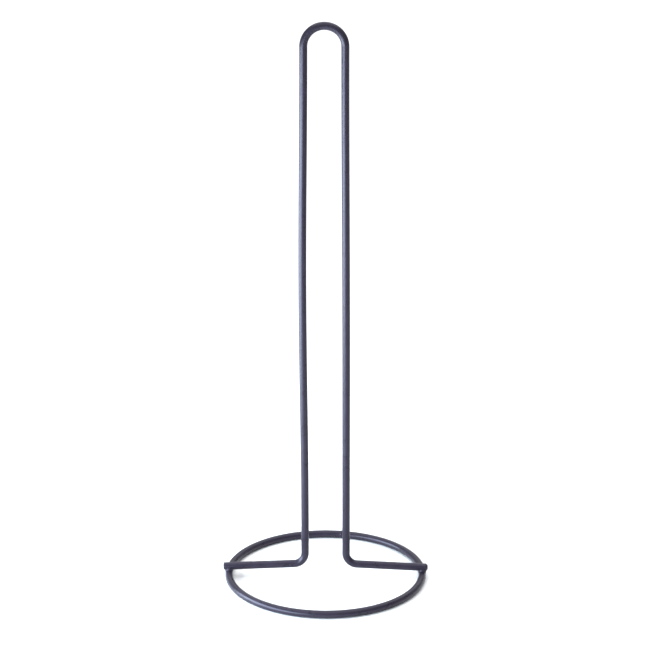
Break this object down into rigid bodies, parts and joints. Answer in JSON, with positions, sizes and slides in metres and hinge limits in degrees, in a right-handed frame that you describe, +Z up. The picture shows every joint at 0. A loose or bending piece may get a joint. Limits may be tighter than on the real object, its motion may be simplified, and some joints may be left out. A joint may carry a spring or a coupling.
{
  "type": "paper towel holder",
  "caption": "Countertop paper towel holder: a tall looped wire upright whose two splayed feet are welded across a flat round wire base ring.",
  "frame": {"origin": "on the counter, at the middle of the base ring", "axes": "+Z up along the upright, +X along the feet towards the right foot, -Y towards the front"},
  "size_m": [0.1272, 0.1248, 0.35],
  "materials": {
    "coated_wire": "satin powder coat, dark slate with a violet-blue cast, over drawn steel wire",
    "coated_weld": "satin powder coat over as-welded steel"
  },
  "bodies": {
    "root": {"upright_wire": "coated_wire", "base_ring": "coated_wire", "left_weld": "coated_weld", "right_weld": "coated_weld", "ring_butt_weld": "coated_weld"}
  },
  "joints": []
}
